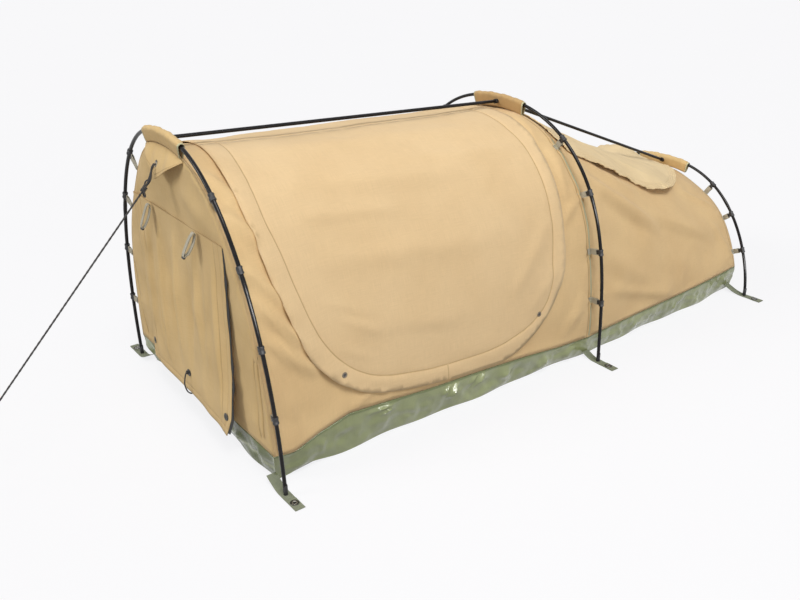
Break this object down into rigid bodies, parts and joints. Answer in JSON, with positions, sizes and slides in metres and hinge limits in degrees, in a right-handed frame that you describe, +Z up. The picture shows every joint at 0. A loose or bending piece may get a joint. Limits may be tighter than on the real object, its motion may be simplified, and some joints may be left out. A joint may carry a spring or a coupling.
{
  "type": "swag bedroll",
  "caption": "Single-person dome swag: tan canvas shelter on three bent hoops and a ridge, with a green waterproof tub, storm-flap doors, head window and roof vent.",
  "frame": {"origin": "on the ground under the middle of the tub, half way between the head hoop's feet and the foot hoop's feet", "axes": "+X towards the foot end, +Y to the far side, +Z up"},
  "size_m": [3.0282, 1.148, 0.8822],
  "materials": {
    "tan_canvas": "matte woven cotton canvas",
    "flap_canvas": "matte woven cotton canvas with stitched hems",
    "green_pvc": "satin coated fabric",
    "black_tube": "black anodised, satin",
    "black_plastic": "moulded, satin",
    "grey_webbing": "woven tape",
    "insect_mesh": "fine net",
    "mattress_cover": "matte cover over foam",
    "black_rope": "braided cord"
  },
  "bodies": {
    "shelter": {"canvas_body": "tan_canvas", "far_foot_clip_1": "grey_webbing", "far_foot_clip_2": "grey_webbing", "far_foot_clip_3": "grey_webbing", "far_foot_tab": "green_pvc", "far_head_clip_1": "grey_webbing", "far_head_clip_2": "grey_webbing", "far_head_clip_3": "grey_webbing", "far_head_clip_4": "grey_webbing", "far_head_tab": "green_pvc", "far_middle_clip_1": "grey_webbing", "far_middle_clip_2": "grey_webbing", "far_middle_clip_3": "grey_webbing", "far_middle_clip_4": "grey_webbing", "far_middle_tab": "green_pvc", "far_vent_screen": "insect_mesh", "foot_hoop": "black_tube", "foot_hub": "black_plastic", "foot_ridge_pole": "black_tube", "foot_sleeve": "tan_canvas", "guy_end_loop": "black_rope", "guy_knot": "black_rope", "guy_rope": "black_rope", "head_hoop": "black_tube", "head_hub": "black_plastic", "head_ridge_pole": "black_tube", "head_sleeve": "tan_canvas", "hood": "tan_canvas", "mattress": "mattress_cover", "middle_hoop": "black_tube", "middle_hub": "black_plastic", "middle_sleeve": "tan_canvas", "near_foot_clip_1": "grey_webbing", "near_foot_clip_2": "grey_webbing", "near_foot_clip_3": "grey_webbing", "near_foot_tab": "green_pvc", "near_head_clip_1": "grey_webbing", "near_head_clip_2": "grey_webbing", "near_head_clip_3": "grey_webbing", "near_head_clip_4": "grey_webbing", "near_head_tab": "green_pvc", "near_middle_clip_1": "grey_webbing", "near_middle_clip_2": "grey_webbing", "near_middle_clip_3": "grey_webbing", "near_middle_clip_4": "grey_webbing", "near_middle_tab": "green_pvc", "near_vent_screen": "insect_mesh", "roof_hook": "black_plastic", "tub": "green_pvc", "window_screen": "insect_mesh"},
    "near_door": {"near_door_flap": "flap_canvas"},
    "far_door": {"far_door_flap": "flap_canvas"},
    "near_screen": {"near_door_screen": "insect_mesh"},
    "far_screen": {"far_door_screen": "insect_mesh"},
    "near_vent": {"near_vent_flap": "flap_canvas"},
    "far_vent": {"far_vent_flap": "flap_canvas"},
    "window_flap": {"window_flap": "flap_canvas", "elastic_loop": "black_rope"},
    "near_loop": {"near_tie_loop": "grey_webbing"},
    "far_loop": {"far_tie_loop": "grey_webbing"}
  },
  "joints": [
    {"name": "near_door_hinge", "type": "hinge", "parent": "shelter", "child": "near_door", "pos_m": [-0.46636, -0.0752, 0.80991], "axis": [-0.9991, 0, 0.0414], "range_deg": [0, 105]},
    {"name": "near_screen_hinge", "type": "hinge", "parent": "shelter", "child": "near_screen", "pos_m": [-0.47541, -0.16522, 0.77734], "axis": [-0.9994, 0.0066, 0.0341], "range_deg": [0, 105]},
    {"name": "far_door_hinge", "type": "hinge", "parent": "shelter", "child": "far_door", "pos_m": [-0.46636, 0.0752, 0.80991], "axis": [0.9991, 0, -0.0414], "range_deg": [0, 105]},
    {"name": "far_screen_hinge", "type": "hinge", "parent": "shelter", "child": "far_screen", "pos_m": [-0.47541, 0.16522, 0.77734], "axis": [0.9994, 0.0066, -0.0341], "range_deg": [0, 105]},
    {"name": "near_vent_hinge", "type": "hinge", "parent": "shelter", "child": "near_vent", "pos_m": [0.58415, -0.06135, 0.60877], "axis": [-0.9352, -0.0261, 0.3531], "range_deg": [0, 80]},
    {"name": "far_vent_hinge", "type": "hinge", "parent": "shelter", "child": "far_vent", "pos_m": [0.58415, 0.06135, 0.60877], "axis": [0.9352, -0.0261, -0.3531], "range_deg": [0, 80]},
    {"name": "window_flap_hinge", "type": "hinge", "parent": "shelter", "child": "window_flap", "pos_m": [-1.07595, 0, 0.63949], "axis": [0, 1, 0], "range_deg": [0, 50]},
    {"name": "near_loop_swing", "type": "hinge", "parent": "window_flap", "child": "near_loop", "pos_m": [-1.08233, -0.15, 0.63927], "axis": [0, 1, 0], "range_deg": [-2, 60]},
    {"name": "far_loop_swing", "type": "hinge", "parent": "window_flap", "child": "far_loop", "pos_m": [-1.08233, 0.15, 0.63927], "axis": [0, 1, 0], "range_deg": [-2, 60]}
  ],
  "couplings": [
    {"joint": "near_screen_hinge", "follows": "near_door_hinge", "ratio": 1},
    {"joint": "far_screen_hinge", "follows": "far_door_hinge", "ratio": 1}
  ]
}
